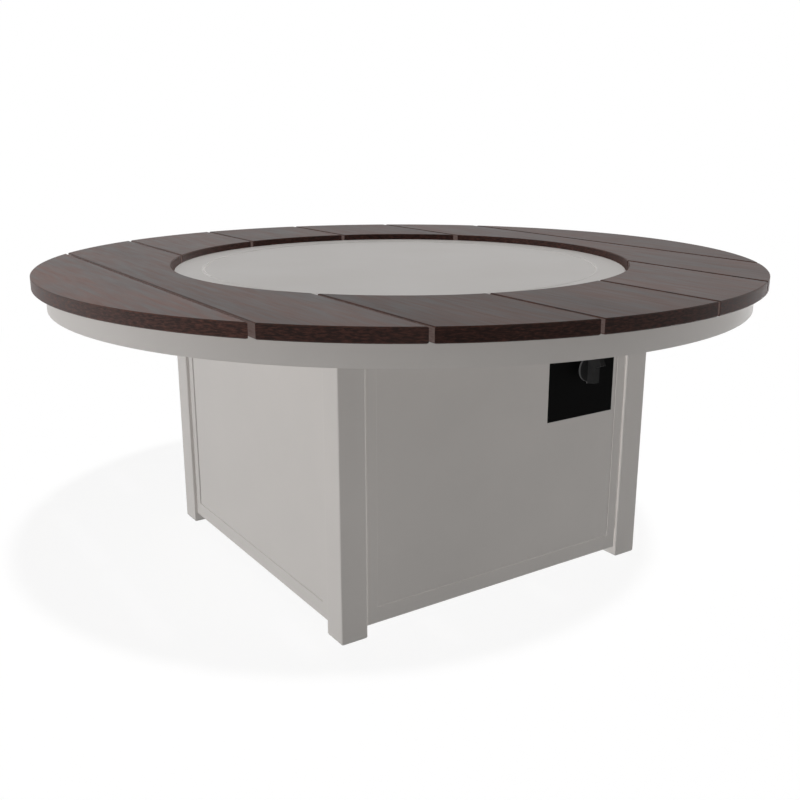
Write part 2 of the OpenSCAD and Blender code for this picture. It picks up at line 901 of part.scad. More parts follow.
module gas_bend() {
    rotate_extrude(angle = 90)
        translate([gas_bend_r, 0])
            difference() {
                circle(gas_tube_r);
                circle(gas_tube_r - gas_tube_wall);
            }
}

// Gas tube from the valve across to the middle, back to the burner's axis and up into the mixer
module gas_tube() {
    outlet_x = knob_x - valve_port_len;
    b = gas_bend_r;
    color(brass) {
        translate([b, outlet_y, knob_z])
            rotate([0, 90, 0])
                gas_straight(outlet_x - b);
        translate([b, outlet_y + b, knob_z])
            rotate([0, 0, 180])
                gas_bend();
        translate([0, outlet_y + b, knob_z])
            rotate([-90, 0, 0])
                gas_straight(-outlet_y - 2 * b);
        translate([0, -b, knob_z + b])
            rotate([90, 0, 90])
                rotate([0, 0, -90])
                    gas_bend();
        translate([0, 0, knob_z + b])
            gas_straight(mixer_z - knob_z - b);
    }
}

// Barrel with a flange on the plate, an outlet towards the middle and an inlet below
module valve_body() {
    color(brass)
        translate([knob_x, 0, knob_z])
            difference() {
                union() {
                    rod_y(valve_r, plate_back_y, valve_end_y);
                    translate([-valve_flange_half, plate_back_y, -valve_flange_rise])
                        cube([2 * valve_flange_half, valve_flange_t, 2 * valve_flange_rise]);
                    translate([-valve_port_len, outlet_y, 0])
                        rotate([0, 90, 0])
                            cylinder(r = valve_boss_r, h = valve_port_len);
                    translate([0, inlet_y, -valve_port_len])
                        cylinder(r = valve_boss_r, h = valve_port_len);
                }
                rod_y(stem_bore_r, plate_back_y - valve_flange_t, valve_end_y - valve_flange_t);
                translate([-2 * valve_port_len, outlet_y, 0])
                    rotate([0, 90, 0])
                        cylinder(r = gas_bore_r, h = 2 * valve_port_len);
                translate([0, inlet_y, -2 * valve_port_len])
                    cylinder(r = gas_bore_r, h = 2 * valve_port_len);
            }
}

// Rod inside the valve that the stem pushes back to hold the safety valve open
module push_rod() {
    color(steel)
        translate([knob_x, 0, knob_z])
            rod_y(stem_r, stem_end_y + face_clear, rod_end_y);
}

// Stem with a flat that keys it to the knob
module valve_stem() {
    color(steel)
        translate([knob_x, 0, knob_z])
            difference() {
                rod_y(stem_r, stem_tip_y, stem_end_y);
                translate([-2 * stem_r, stem_tip_y - stem_r, stem_r - stem_flat])
                    cube([4 * stem_r, knob_back_y - stem_tip_y + stem_r, stem_r]);
            }
}

// Side view of the knob's grip: distance from the plate and height over the axis, with a thumb tab above
module grip_profile(root) {
    slant = (knob_grip_y - root) / 6;
    polygon([
        [root, -grip_half], [knob_grip_y, -grip_half + slant], [knob_grip_y, thumb_foot_z],
        [thumb_y, thumb_tip_z], [(knob_grip_y + thumb_y) / 2, grip_half - slant],
        [knob_grip_y + slant, grip_half], [root, grip_half]
    ]);
}

// Hub, thin round skirt with a bevelled rim and a standing grip bar across it
module knob() {
    depth = knob_back_y - knob_skirt_face_y;
    edge = knob_skirt_t / 4;
    color(black)
        translate([knob_x, 0, knob_z])
            difference() {
                union() {
                    translate([0, knob_back_y, 0])
                        rotate([90, 0, 0])
                            rotate_extrude()
                                polygon([
                                    [0, 0], [knob_hub_r, 0], [knob_hub_r, depth - knob_skirt_t],
                                    [knob_r, depth - knob_skirt_t], [knob_r, depth - edge],
                                    [knob_r - edge, depth], [0, depth]
                                ]);
                    translate([0, plate_face_y, 0])
                        rotate([90, 0, -90])
                            linear_extrude(grip_t, center = true)
                                grip_profile(knob_skirt_y - knob_skirt_t / 2);
                }
                difference() {
                    rod_y(stem_r + fixed_clear, stem_tip_y - face_clear, knob_back_y + depth);
                    translate([-2 * stem_r, stem_tip_y - depth, stem_r - stem_flat + fixed_clear])
                        cube([4 * stem_r, 4 * depth, stem_r]);
                }
            }
}

// Black plate that fills the window and laps the panel behind it
module control_plate() {
    color(black)
        difference() {
            union() {
                translate([plate_x0 + fixed_clear, plate_face_y, plate_z0 + fixed_clear])
                    cube([plate_w - 2 * fixed_clear, panel_t, plate_h - 2 * fixed_clear]);
                translate([plate_x0 - plate_flange, -field_back, plate_z0 - plate_flange])
                    cube([plate_w + 2 * plate_flange, panel_t, plate_h + 2 * plate_flange]);
            }
            translate([knob_x, 0, knob_z])
                rod_y(stem_r + knuckle_clear, plate_face_y - panel_t, plate_back_y + panel_t);
        }
}

// Hexagon and threaded spigot that the gas hose is screwed on
module gas_inlet() {
    color(brass)
        translate([knob_x, inlet_y, inlet_end_z])
            difference() {
                union() {
                    cylinder(r = inlet_r, h = inlet_len);
                    translate([0, 0, inlet_len])
                        cylinder(d = inlet_af / cos(30), h = inlet_hex_t, $fn = 6);
                }
                translate([0, 0, -inlet_len])
                    cylinder(r = gas_bore_r, h = 4 * inlet_len);
            }
}

// Collar and sleeve through the pan floor
module pilot_foot(top) {
    translate([0, 0, pan_floor])
        cylinder(d = 2 * collar_r / cos(30), h = collar_t, $fn = 6);
    translate([0, 0, pan_z - collar_t])
        cylinder(r = electrode_r, h = top - pan_z + collar_t, $fn = 32);
}

module spark_electrode() {
    p = pilot_place(1);
    sleeve_top = burner_z;
    tip_z = burner_z + burner_tube_r + 3 * wire_r;
    reach = burner_outer_r - burner_tube_r - norm(p);
    color(ceramic_white)
        translate([p[0], p[1], 0]) {
            pilot_foot(sleeve_top);
            translate([0, 0, sleeve_top])
                cylinder(r = wire_r, h = tip_z - sleeve_top, $fn = 24);
            translate([0, 0, tip_z])
                sphere(wire_r, $fn = 24);
            translate([0, 0, tip_z])
                rotate([0, 90, atan2(p[1], p[0])])
                    cylinder(r = wire_r, h = reach, $fn = 24);
        }
}

module flame_sensor() {
    p = pilot_place(-1);
    sleeve_top = pan_floor + 2 * collar_t;
    tip_z = burner_z + burner_tube_r;
    color(steel)
        translate([p[0], p[1], 0]) {
            pilot_foot(sleeve_top);
            translate([0, 0, sleeve_top])
                cylinder(r = sensor_r, h = tip_z - sleeve_top, $fn = 32);
            translate([0, 0, tip_z])
                sphere(sensor_r, $fn = 32);
        }
}

// Tray on the lower rails, with vent slots and four tabs round the bottle's foot
module bottle_tray() {
    tray_half = rail_in + tray_lap;
    notch = leg_in - face_clear;
    foot_r = bottle_foot_r + face_clear;
    color(warm_grey)
        translate([0, 0, low_rail_top]) {
            difference() {
                translate([-tray_half, -tray_half, 0])
                    cube([2 * tray_half, 2 * tray_half, tray_t]);
                for (i = [0:3])
                    rotate([0, 0, 90 * i])
                        translate([notch, notch, -tray_t])
                            cube([tray_half, tray_half, 3 * tray_t]);
                for (i = [0:slot_count - 1])
                    translate([(i - (slot_count - 1) / 2) * slot_pitch, -bottle_y, -tray_t])
                        linear_extrude(3 * tray_t) {
                            square([slot_w, slot_len - slot_w], center = true);
                            for (s = [-1, 1])
                                translate([0, s * (slot_len - slot_w) / 2])
                                    circle(slot_w / 2, $fn = 32);
                        }
            }
            for (a = [0:90:270])
                translate([0, bottle_y, tray_t])
                    rotate([0, 0, a])
                        translate([foot_r, -tab_w / 2, 0])
                            cube([tray_t, tab_w, tab_h]);
        }
}

// Pan-head screws driven up through the rings into the boards
module board_screws() {
    color(steel)
        for (p = all_screw_points)
            translate([p[0], p[1], arm_top]) {
                translate([0, 0, -screw_head_t])
                    cylinder(r = screw_head_r, h = screw_head_t, $fn = 24);
                cylinder(r = screw_r, h = ring_t + screw_bite - face_clear, $fn = 24);
            }
}

for (i = [0:9])
    board_by_index(i);
for (i = [0:7])
    top_arm(i);
for (i = [0:3]) {
    leg(i);
    rail(i, leg_top - rail_w);
    rail(i, low_rail_z);
}
rim_hoop();
carry_ring();
foot_plugs();
front_panel();
side_panel(1, panel_half, panel_depth);  // right_panel
side_panel(3, panel_half, panel_depth);  // left_panel
access_door();
hinge_leaves_leg();
hinge_leaves_door();
hinge_pins();
door_magnet();
door_strike();
burner_deck();
burner_cover();
cover_hoop();
burner_pan();
ring_burner();
burner_locknut();
air_mixer();
gas_tube();
valve_body();
push_rod();
valve_stem();
knob();
control_plate();
gas_inlet();
spark_electrode();
flame_sensor();
bottle_tray();
board_screws();
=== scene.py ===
import json
import math

import bmesh
import bpy
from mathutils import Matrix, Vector


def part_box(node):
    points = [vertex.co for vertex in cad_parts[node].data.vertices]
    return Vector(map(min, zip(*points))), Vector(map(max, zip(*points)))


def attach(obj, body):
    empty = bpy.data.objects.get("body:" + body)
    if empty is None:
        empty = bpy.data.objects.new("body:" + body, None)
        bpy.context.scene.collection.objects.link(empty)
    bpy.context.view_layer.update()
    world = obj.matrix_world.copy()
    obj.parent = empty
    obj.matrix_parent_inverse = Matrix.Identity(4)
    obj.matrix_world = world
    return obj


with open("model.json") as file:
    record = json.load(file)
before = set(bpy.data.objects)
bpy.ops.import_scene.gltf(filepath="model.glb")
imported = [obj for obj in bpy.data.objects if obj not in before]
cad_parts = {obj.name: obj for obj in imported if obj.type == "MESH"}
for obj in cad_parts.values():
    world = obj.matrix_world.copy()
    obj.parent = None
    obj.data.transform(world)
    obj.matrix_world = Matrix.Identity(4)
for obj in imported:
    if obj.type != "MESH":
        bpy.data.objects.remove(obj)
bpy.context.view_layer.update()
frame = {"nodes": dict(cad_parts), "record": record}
scene = bpy.context.scene
scene.view_settings.view_transform = "Standard"

# Camera, in metres and degrees
CAMERA_AT = (-1.17438, -1.76784, 0.92259)
LOOK_AT = (0.0, 0.0, 0.3238)
VIEW_ANGLE = 45.0

# Colours, linear
PAINT = (0.43, 0.408, 0.39)
WOOD_DARK = (0.013, 0.0062, 0.0050)
WOOD_GREY = (0.028, 0.0185, 0.0165)
WOOD_RED = (0.064, 0.0255, 0.0170)
WOOD_FLECK = (0.060, 0.025, 0.019)
# Pale colour on the boards' flanks along the gaps, a painted sheen
WOOD_FLANK_SHEEN = (0.11, 0.082, 0.075)
FOOT_GREY = (0.36, 0.35, 0.335)
ZINC = (0.60, 0.61, 0.62)
STAINLESS = (0.56, 0.56, 0.55)
BRASS = (0.62, 0.45, 0.20)
BRASS_TARNISH = (0.36, 0.25, 0.12)
TUBE = (0.68, 0.68, 0.69)
BURNER = (0.50, 0.49, 0.48)
BURNER_HEAT = (0.30, 0.24, 0.19)
PAN_HEAT = (0.42, 0.33, 0.24)
BLACK_PLASTIC = (0.012, 0.012, 0.012)
BLACK_COAT = (0.0026, 0.0026, 0.0026)
GLAZE = (0.80, 0.78, 0.73)
GLAZE_SPECK = (0.45, 0.40, 0.34)
# Paler colour on the knob's rim, a painted highlight
KNOB_RIM_HIGHLIGHT = (0.055, 0.055, 0.055)
FLOOR_DARK = (0.88, 0.88, 0.88)
FLOOR_LIGHT = (0.90, 0.90, 0.90)
WHITE = (1.0, 1.0, 1.0)

# Grain per metre along X, Y and Z: broad bands, streaks and fibres, on the boards' faces and on their edges
FACE_GRAIN = ((10.0, 2.4, 10.0), (90.0, 8.0, 90.0), (420.0, 16.0, 420.0))
EDGE_GRAIN = ((3.0, 3.0, 70.0), (90.0, 90.0, 420.0), (240.0, 240.0, 900.0))
# Share of the bands in the faces' colour, the rest is streaks
BAND_SHARE = 0.35
# Step in the grain from one board to the next
BOARD_STEP = (3.7, 11.3, 1.9)
# How squarely a board's flank faces along X, and its play to the opening's wall and the rim, in metres
FLANK_FACING = 0.999
FLANK_PLAY = 0.001
# Radii between which the flanks lie
FLANK_FROM = math.hypot(*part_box("board_middle_front")[1][:2]) + FLANK_PLAY
FLANK_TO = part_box("board_right_edge")[1][0] - FLANK_PLAY

# Marks per metre on paint, on plastic, on the spun pan, on other metals, on the glaze and on the floor
CLOUDS, GRIT = 5.0, 900.0
GRAIN, WEAR = 1400.0, 60.0
RINGS, PAN_STAINS = 700.0, 14.0
STAINS = 35.0
SPECKS = 700.0
SPECKLE = 40.0
# Drawing marks per metre along X, Y and Z
DRAWN = (40.0, 40.0, 900.0)
BRASS_MARKS = (60.0, 60.0, 600.0)
TUBE_MARKS = (90.0, 90.0, 90.0)
BURNER_MARKS = (70.0, 70.0, 70.0)
# Radius of the pan's heat tint, in metres, and the share of it within which the tint is full
PAN_HEAT_R = 0.24
PAN_HEAT_FULL = 0.6

# Inside of the base, where the paint is darkened as painted shade, in metres: how far out it reaches, from
# what height to what height, and its soft edge
INSIDE_R = 0.3745
INSIDE_Z = (0.062, 0.60)
INSIDE_FADE = 0.004
# How much of the paint's tone is left there under the painted shade
INSIDE_SHADE_TONE = 0.5
# Painted highlight on the rim of the knob's skirt, in metres: width, start ahead of the stem's front end, and
# soft edge
RIM_WIDTH = 0.0008
RIM_AHEAD = 0.0002
RIM_FADE = 0.0003

# Bead in the groove round the cover, in metres: width, height over the cover and play
SEAL_W = 0.0044
SEAL_PROUD = 0.0007
SEAL_PLAY = 0.0003
# Steps across its crown and around it, and the largest angle that is shaded smooth, in degrees
SEAL_STEPS = 10
SEAL_SIDES = 240
SEAL_SMOOTH = 50.0

# Floor: radius in metres, sides, and how much light it throws back on the object
FLOOR_R = 40.0
FLOOR_SIDES = 96
FLOOR_BOUNCE = (0.22, 0.22, 0.22)
# Its own glow near the object, and from where to where it grows to full white, in metres
NEAR_GLOW = 0.82
GLOW_FROM, GLOW_TO = 1.2, 3.0

# Strength of the soft light all round
WORLD_LEVEL = 0.15
# Each lamp's azimuth, elevation and size in degrees, its strength, and whether it makes only highlights
SUNS = {
    "top": (0.0, 88.0, 60.0, 0.92),
    "left": (119.0, 0.0, 60.0, 2.34),
    "left_shine": (119.0, 0.0, 60.0, 0.54, True),
    "right": (-100.0, 0.0, 60.0, 2.5),
    "right_shine": (-115.0, -24.0, 40.0, 0.28, True),
    "front": (10.0, 0.0, 120.0, 0.80),
    "below": (0.0, -90.0, 120.0, 0.3),
}
# The lamp that gives the floor the object's shadow
FLOOR_SUN = (-16.6, 72.2, 4.5, 1.42)

# How strongly each board shines, as its index of refraction, and how light its stain is
BOARD_LOOKS = {
    "board_left_edge": (1.23, 1.5),
    "board_left_bitten": (1.22, 1.05),
    "board_left_front": (1.174, 0.8),
    "board_left_back": (1.22, 1.05),
    "board_middle_front": (1.188, 0.9),
    "board_middle_back": (1.19, 0.95),
    "board_right_front": (1.215, 1.0),
    "board_right_back": (1.175, 0.9),
    "board_right_bitten": (1.19, 1.0),
    "board_right_edge": (1.18, 0.95),
}


def add_node(tree, kind, sockets=None, **props):
    """A node with its properties set and its inputs set or linked, by socket name or number."""
    made = tree.nodes.new(kind)
    for key, value in props.items():
        setattr(made, key, value)
    for key, value in (sockets or {}).items():
        if isinstance(value, bpy.types.NodeSocket):
            tree.links.new(value, made.inputs[key])
        else:
            made.inputs[key].default_value = value
    return made


def new_material(name, sockets):
    """A Principled material with these sockets set: (material, tree, shader)."""
    material = bpy.data.materials.new(name)
    material.use_nodes = True
    tree = material.node_tree
    shader = tree.nodes["Principled BSDF"]
    for key, value in sockets.items():
        shader.inputs[key].default_value = value
    return material, tree, shader


def place(tree, scale, shift=(0.0, 0.0, 0.0)):
    """The object's own coordinates in metres, moved and stretched per axis."""
    coords = add_node(tree, "ShaderNodeTexCoord")
    mapping = add_node(
        tree, "ShaderNodeMapping", {"Vector": coords.outputs["Object"], "Location": shift, "Scale": scale}
    )
    return mapping.outputs["Vector"]


def noise(tree, vector, detail=4.0, roughness=0.55):
    """Noise from 0 to 1 at scale 1 of that vector."""
    made = add_node(
        tree, "ShaderNodeTexNoise", {"Vector": vector, "Scale": 1.0, "Detail": detail, "Roughness": roughness}
    )
    return made.outputs["Fac"]


def spread(tree, value, low, high, to_low=0.0, to_high=1.0):
    """Maps low..high of a value to to_low..to_high, clamped."""
    made = add_node(
        tree, "ShaderNodeMapRange",
        {"Value": value, "From Min": low, "From Max": high, "To Min": to_low, "To Max": to_high},
    )
    return made.outputs["Result"]


def mix_colour(tree, factor, first, second):
    """Two colours or colour sockets mixed by a factor socket."""
    sockets = {0: factor}
    for index, value in ((6, first), (7, second)):
        sockets[index] = value if isinstance(value, bpy.types.NodeSocket) else (*value, 1.0)
    return add_node(tree, "ShaderNodeMix", sockets, data_type="RGBA").outputs[2]


def mix_vector(tree, factor, first, second):
    """Two vectors mixed by a factor socket."""
    made = add_node(tree, "ShaderNodeMix", {0: factor, 4: first, 5: second}, data_type="VECTOR")
    return made.outputs[1]


def math_node(tree, operation, first, second=0.0):
    """One step of arithmetic on values or sockets."""
    made = add_node(tree, "ShaderNodeMath", {0: first, 1: second}, operation=operation)
    return made.outputs["Value"]


def bump(tree, shader, height, strength, distance):
    """Bends the shader's normals by a height socket, distance in metres."""
    made = add_node(tree, "ShaderNodeBump", {"Height": height, "Strength": strength, "Distance": distance})
    tree.links.new(made.outputs["Normal"], shader.inputs["Normal"])


def shade(colour, factor):
    """A colour made darker or lighter."""
    return tuple(c * factor for c in colour)


def even(scale):
    """The same scale along all three axes."""
    return (scale, scale, scale)


def axes(tree, vector):
    """A vector's X, Y and Z sockets."""
    return add_node(tree, "ShaderNodeSeparateXYZ", {"Vector": vector}).outputs


def facing_along(tree, axis):
    """How much a face looks along an axis, from 0 to 1."""
    geometry = add_node(tree, "ShaderNodeNewGeometry")
    return math_node(tree, "ABSOLUTE", axes(tree, geometry.outputs["True Normal"])[axis])


def radius(tree, centre=(0.0, 0.0, 0.0), plane=(1.0, 1.0, 0.0)):
    """Distance from a centre within a plane's axes, in metres."""
    flat = place(tree, plane, tuple(-c for c in centre))
    return add_node(tree, "ShaderNodeVectorMath", {0: flat}, operation="LENGTH").outputs["Value"]


def tone_of(material):
    """A material's tree, its shader and the socket that now feeds its base colour."""
    tree = material.node_tree
    shader = tree.nodes["Principled BSDF"]
    return tree, shader, shader.inputs["Base Color"].links[0].from_socket


def side_mask(tree):
    """1 on upright faces, 0 on level ones."""
    return spread(tree, facing_along(tree, "Z"), 0.35, 0.85, 1.0, 0.0)


def flank_sheen_mask(tree):
    """1 on the boards' long flanks along the gaps, where the painted sheen goes, 0 elsewhere."""
    share = math_node(tree, "GREATER_THAN", facing_along(tree, "X"), FLANK_FACING)
    out = radius(tree)
    for operation, limit in (("GREATER_THAN", FLANK_FROM), ("LESS_THAN", FLANK_TO)):
        share = math_node(tree, "MULTIPLY", share, math_node(tree, operation, out, limit))
    return share


def wood(name, shift, sheen, tone):
    """Dark stained board: soft streaks along Y on its faces, finer ones along the rim on its edges, and a
    pale painted sheen on its flanks along the gaps.
    """
    material, tree, shader = new_material(name, {"IOR": sheen})
    dark, grey, red, flecked = (shade(c, tone) for c in (WOOD_DARK, WOOD_GREY, WOOD_RED, WOOD_FLECK))
    side = side_mask(tree)
    band, streak, fibre = (
        mix_vector(tree, side, place(tree, face, shift), place(tree, edge, shift))
        for face, edge in zip(FACE_GRAIN, EDGE_GRAIN)
    )
    bands = noise(tree, band, 2.0, 0.5)
    streaks = noise(tree, streak, 3.0, 0.55)
    fibres = noise(tree, fibre, 3.0, 0.6)
    broad = math_node(tree, "MULTIPLY", bands, BAND_SHARE)
    blend = math_node(tree, "ADD", broad, math_node(tree, "MULTIPLY", streaks, 1.0 - BAND_SHARE))
    face = mix_colour(tree, spread(tree, blend, 0.40, 0.60), grey, red)
    lined = mix_colour(tree, spread(tree, fibres, 0.25, 0.6, 0.55, 0.0), face, dark)
    fleck = mix_colour(tree, spread(tree, streaks, 0.4, 0.7), dark, flecked)
    edge = mix_colour(tree, spread(tree, fibres, 0.3, 0.65, 0.55, 0.0), fleck, dark)
    # Painted sheen: the flanks along the gaps take a pale colour in place of the dark edge
    painted_sheen = mix_colour(tree, spread(tree, streaks, 0.35, 0.65, 0.0, 0.4), WOOD_FLANK_SHEEN, flecked)
    upright = mix_colour(tree, flank_sheen_mask(tree), edge, painted_sheen)
    tree.links.new(mix_colour(tree, side, lined, upright), shader.inputs["Base Color"])
    tree.links.new(spread(tree, streaks, 0.3, 0.7, 0.40, 0.48), shader.inputs["Roughness"])
    bump(tree, shader, fibres, 0.2, 0.0005)
    return material


def powder_coat(name, colour, roughness, peel=0.12, gloss=0.5):
    """Painted metal with a fine orange-peel surface and a trace of unevenness."""
    material, tree, shader = new_material(name, {"IOR": 1.45, "Specular IOR Level": gloss})
    cloud = noise(tree, place(tree, even(CLOUDS)), 3.0)
    grit = noise(tree, place(tree, even(GRIT)), 2.0)
    dark = shade(colour, 0.955)
    clouded = mix_colour(tree, spread(tree, cloud, 0.3, 0.7), dark, shade(colour, 1.02))
    fine = mix_colour(tree, spread(tree, grit, 0.35, 0.65, 0.0, 0.25), clouded, dark)
    tree.links.new(fine, shader.inputs["Base Color"])
    uneven = spread(tree, cloud, 0.3, 0.7, roughness - 0.04, roughness + 0.05)
    tree.links.new(uneven, shader.inputs["Roughness"])
    bump(tree, shader, grit, peel, 0.0004)
    return material


def shade_inside(material):
    """Darkens a paint on faces that look into the base, as painted shade."""
    tree, shader, tone = tone_of(material)
    normal = add_node(tree, "ShaderNodeTexCoord").outputs["Normal"]
    flat = place(tree, (1.0, 1.0, 0.0))
    facing = add_node(tree, "ShaderNodeVectorMath", {0: flat, 1: normal}, operation="DOT_PRODUCT")
    where = axes(tree, place(tree, even(1.0)))
    out = math_node(tree, "MAXIMUM", *(math_node(tree, "ABSOLUTE", where[axis]) for axis in "XY"))
    low, high = INSIDE_Z
    share = spread(tree, facing.outputs["Value"], -INSIDE_FADE, 0.0, 1.0, 0.0)
    for mask in (
        math_node(tree, "LESS_THAN", out, INSIDE_R),
        spread(tree, where["Z"], low, low + INSIDE_FADE),
        spread(tree, where["Z"], high - INSIDE_FADE, high, 1.0, 0.0),
    ):
        share = math_node(tree, "MULTIPLY", share, mask)
    # Painted shade: faces inside the base take a darker copy of the paint
    tree.links.new(mix_colour(tree, share, tone, shade(PAINT, INSIDE_SHADE_TONE)), shader.inputs["Base Color"])


def plastic(name, colour, roughness, gloss=0.5):
    """Moulded plastic with a fine spark-eroded grain."""
    material, tree, shader = new_material(name, {"IOR": 1.46, "Specular IOR Level": gloss})
    grain = noise(tree, place(tree, even(GRAIN)), 2.0)
    worn = noise(tree, place(tree, even(WEAR)), 4.0)
    tone = mix_colour(tree, spread(tree, worn, 0.4, 0.7), colour, shade(colour, 1.35))
    tree.links.new(tone, shader.inputs["Base Color"])
    uneven = spread(tree, worn, 0.3, 0.7, roughness - 0.05, roughness + 0.08)
    tree.links.new(uneven, shader.inputs["Roughness"])
    bump(tree, shader, grain, 0.15, 0.0003)
    return material


def paint_rim_highlight(material, centre, rim_r, face_y):
    """Paints a highlight on the rim of the knob's skirt; centre and sizes in metres."""
    tree, shader, tone = tone_of(material)
    depth = axes(tree, place(tree, even(1.0)))["Y"]
    rim = spread(tree, radius(tree, centre, (1.0, 0.0, 1.0)), rim_r - RIM_FADE, rim_r)
    skirt = spread(tree, depth, face_y - RIM_FADE, face_y)
    share = math_node(tree, "MULTIPLY", rim, skirt)
    # Painted highlight: the skirt's rim takes a paler colour
    tree.links.new(mix_colour(tree, share, tone, KNOB_RIM_HIGHLIGHT), shader.inputs["Base Color"])


def metal(name, colour, roughness, brush=DRAWN, tint=None):
    """Bare metal with fine drawing marks and light tarnish."""
    material, tree, shader = new_material(name, {"Metallic": 1.0})
    lines = noise(tree, place(tree, brush), 4.0, 0.65)
    stain = noise(tree, place(tree, even(STAINS)), 5.0, 0.6)
    dull = tint or shade(colour, 0.72)
    tone = mix_colour(tree, spread(tree, stain, 0.45, 0.75, 0.0, 0.7), colour, dull)
    lined = mix_colour(tree, spread(tree, lines, 0.35, 0.65, 0.0, 0.25), tone, dull)
    tree.links.new(lined, shader.inputs["Base Color"])
    uneven = spread(tree, lines, 0.3, 0.7, roughness - 0.07, roughness + 0.1)
    tree.links.new(uneven, shader.inputs["Roughness"])
    bump(tree, shader, lines, 0.08, 0.0003)
    return material


def spun_steel(name, colour, tint, tint_r):
    """Steel spun about Z with rings of tool marks, tinted by heat inside a radius in metres."""
    material, tree, shader = new_material(name, {"Metallic": 1.0})
    out = radius(tree)
    turned = add_node(tree, "ShaderNodeCombineXYZ", {"X": math_node(tree, "MULTIPLY", out, RINGS)})
    rings = noise(tree, turned.outputs["Vector"], 3.0)
    stain = noise(tree, place(tree, even(PAN_STAINS)), 4.0)
    warm = spread(tree, out, tint_r * PAN_HEAT_FULL, tint_r, 0.8, 0.0)
    heat = math_node(tree, "MULTIPLY", warm, spread(tree, stain, 0.35, 0.65))
    ringed = mix_colour(tree, spread(tree, rings, 0.35, 0.65), shade(colour, 0.8), colour)
    tree.links.new(mix_colour(tree, heat, ringed, tint), shader.inputs["Base Color"])
    tree.links.new(spread(tree, rings, 0.3, 0.7, 0.24, 0.36), shader.inputs["Roughness"])
    bump(tree, shader, rings, 0.1, 0.0003)
    return material


def ceramic(name):
    """Glazed insulator, off white with a few specks."""
    material, tree, shader = new_material(name, {"Roughness": 0.16, "IOR": 1.55})
    speck = noise(tree, place(tree, even(SPECKS)), 3.0)
    tone = mix_colour(tree, spread(tree, speck, 0.68, 0.76), GLAZE, GLAZE_SPECK)
    tree.links.new(tone, shader.inputs["Base Color"])
    return material


def dress(material, name):
    """Puts a material on a CAD node."""
    frame["nodes"][name].material_slots[0].material = material


paint = powder_coat("paint", PAINT, 0.42)
# Painted shade inside the base
shade_inside(paint)
SLOT_MATERIALS = {
    "grey_powder_coat": paint,
    "grey_plastic": plastic("foot_plastic", FOOT_GREY, 0.5),
    "zinc_steel": metal("zinc", ZINC, 0.34),
    "stainless_steel": metal("stainless", STAINLESS, 0.3),
    "brass": metal("brass_metal", BRASS, 0.3, BRASS_MARKS, BRASS_TARNISH),
    "aluminium_tube": metal("tube_metal", TUBE, 0.34, TUBE_MARKS),
    "black_plastic": plastic("black_plastic", BLACK_PLASTIC, 0.42, 0.06),
    "black_coat": powder_coat("plate_coat", BLACK_COAT, 0.7, 0.12, 0.03),
    "white_ceramic": ceramic("insulator"),
}
for row in frame["record"]["subparts"]:
    if row["material_slot"] in SLOT_MATERIALS:
        dress(SLOT_MATERIALS[row["material_slot"]], row["node"])

# Painted shade: the bottle tray takes the darker paint of the base's inside
dress(powder_coat("shaded_tray_paint", shade(PAINT, INSIDE_SHADE_TONE), 0.5), "bottle_tray")
dress(spun_steel("spun_steel", STAINLESS, PAN_HEAT, PAN_HEAT_R), "burner_pan")
dress(metal("burner_steel", BURNER, 0.32, BURNER_MARKS, BURNER_HEAT), "ring_burner")

# The knob's centre comes from the stem, its skirt's radius from its own width
stem_low, stem_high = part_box("valve_stem")
knob_low, knob_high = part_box("knob")
knob_centre = ((stem_low[0] + stem_high[0]) / 2, 0.0, (stem_low[2] + stem_high[2]) / 2)
skirt_r = (knob_high[0] - knob_low[0]) / 2
knob_plastic = plastic("knob_plastic", BLACK_PLASTIC, 0.42, 0.06)
paint_rim_highlight(knob_plastic, knob_centre, skirt_r - RIM_WIDTH, stem_low[1] - RIM_AHEAD)
dress(knob_plastic, "knob")

for index, (board, looks) in enumerate(BOARD_LOOKS.items()):
    dress(wood("wood_" + board, tuple(step * index for step in BOARD_STEP), *looks), board)


def revolve(shape, profile, steps):
    """Closed ring made by turning a closed (radius, height) outline about Z."""
    rings = []
    for step in range(steps):
        turn = 2 * math.pi * step / steps
        rings.append([shape.verts.new((r * math.cos(turn), r * math.sin(turn), z)) for r, z in profile])
    count = len(profile)
    for step in range(steps):
        here, there = rings[step], rings[(step + 1) % steps]
        for i in range(count):
            j = (i + 1) % count
            shape.faces.new((here[i], there[i], there[j], here[j]))


def new_piece(name, shape, material, body, smooth_angle):
    """A mesh object from a bmesh that rides on a body, shaded smooth up to an angle in degrees."""
    bmesh.ops.recalc_face_normals(shape, faces=shape.faces)
    mesh = bpy.data.meshes.new(name)
    shape.to_mesh(mesh)
    shape.free()
    mesh.shade_smooth()
    mesh.set_sharp_from_angle(angle=math.radians(smooth_angle))
    piece = bpy.data.objects.new(name, mesh)
    scene.collection.objects.link(piece)
    mesh.materials.append(material)
    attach(piece, body)


def make_cover_seal():
    """Half-round bead in the groove round the cover, a little proud of it."""
    cover_low, cover_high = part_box("burner_cover")
    inner = cover_high[0] + SEAL_PLAY
    middle, half = inner + SEAL_W / 2, SEAL_W / 2
    foot, shoulder = cover_low[2] + SEAL_PLAY, cover_high[2] - SEAL_PLAY
    crown = cover_high[2] + SEAL_PROUD - shoulder
    profile = [(inner, foot)]
    for step in range(SEAL_STEPS + 1):
        turn = math.pi * (1 - step / SEAL_STEPS)
        profile.append((middle + half * math.cos(turn), shoulder + crown * math.sin(turn)))
    profile.append((inner + SEAL_W, foot))
    shape = bmesh.new()
    revolve(shape, profile, SEAL_SIDES)
    seal_paint = powder_coat("seal_paint", PAINT, 0.3, 0.12, 0.35)
    new_piece("cover_seal", shape, seal_paint, "table", SEAL_SMOOTH)


def seen_directly(tree):
    """1 for what the camera, a reflection or glass sees, 0 for light that falls on things."""
    path = add_node(tree, "ShaderNodeLightPath")
    direct = math_node(tree, "MAXIMUM", path.outputs["Is Camera Ray"], path.outputs["Is Transmission Ray"])
    return math_node(tree, "MAXIMUM", direct, path.outputs["Is Glossy Ray"])


